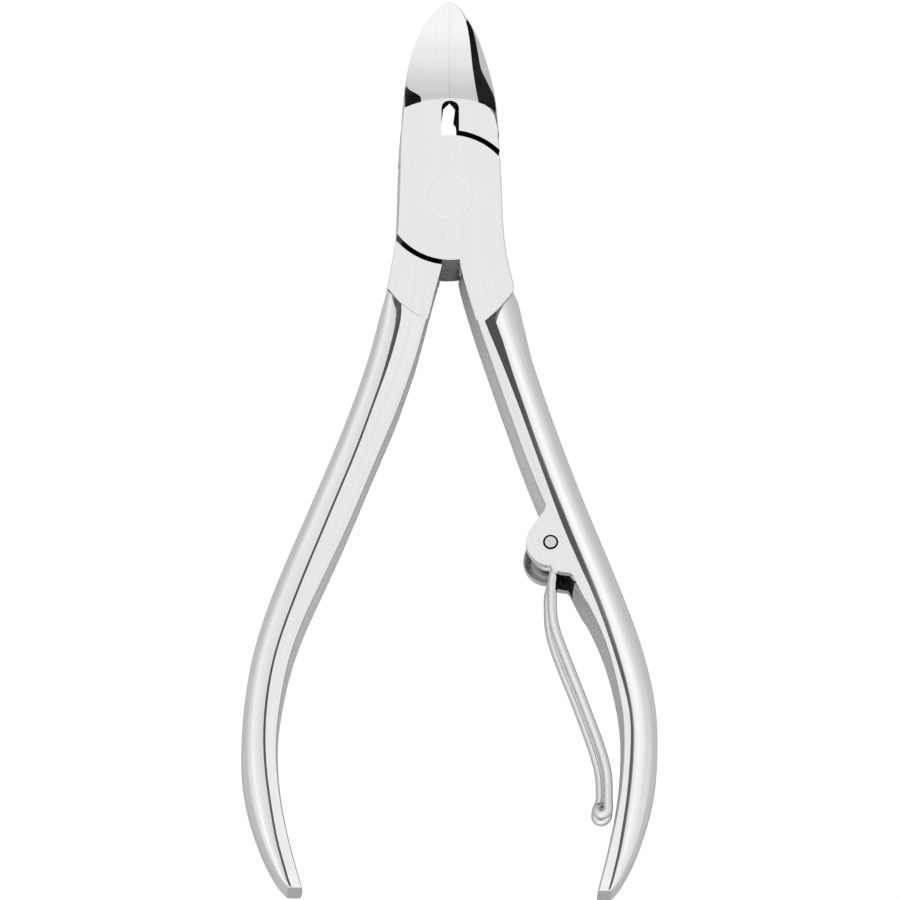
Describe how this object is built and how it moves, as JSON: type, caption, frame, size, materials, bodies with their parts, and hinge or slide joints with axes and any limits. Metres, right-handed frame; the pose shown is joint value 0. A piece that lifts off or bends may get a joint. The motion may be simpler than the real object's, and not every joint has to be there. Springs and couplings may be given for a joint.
{
  "type": "toenail nipper",
  "caption": "Pliers-type toenail nipper: two curved polished steel levers on a riveted lap joint, pointed cutting jaws, and a stowable wire return spring.",
  "frame": {"origin": "pivot axis of the lap joint, on the rear face of the joint that the tool lies on", "axes": "+Z out of the front face along the rivet, +Y along the tool towards the jaw tips, +X across the tool towards the handle that carries the spring"},
  "size_m": [0.0583, 0.13, 0.0105],
  "materials": {
    "polished_steel": "mirror polished, fine grain along the handles",
    "rivet_steel": "ground flush and polished with the joint face",
    "pin_steel": "satin end face",
    "spring_wire": "bright drawn wire"
  },
  "bodies": {
    "front_lever": {"front_lever_left_jaw_right_handle": "polished_steel", "pivot_rivet": "rivet_steel", "spring_pin": "pin_steel"},
    "rear_lever": {"rear_lever_right_jaw_left_handle": "polished_steel"},
    "return_spring": {"wire_spring": "spring_wire"}
  },
  "joints": [
    {"name": "jaw_pivot", "type": "hinge", "parent": "front_lever", "child": "rear_lever", "pos_m": [0, 0, 0.0052], "axis": [0, 0, -1], "range_deg": [0, 25]},
    {"name": "spring_swing", "type": "hinge", "parent": "front_lever", "child": "return_spring", "pos_m": [0.01412, -0.05046, 0.0052], "axis": [0, 0, -1], "range_deg": [0, 74]}
  ]
}
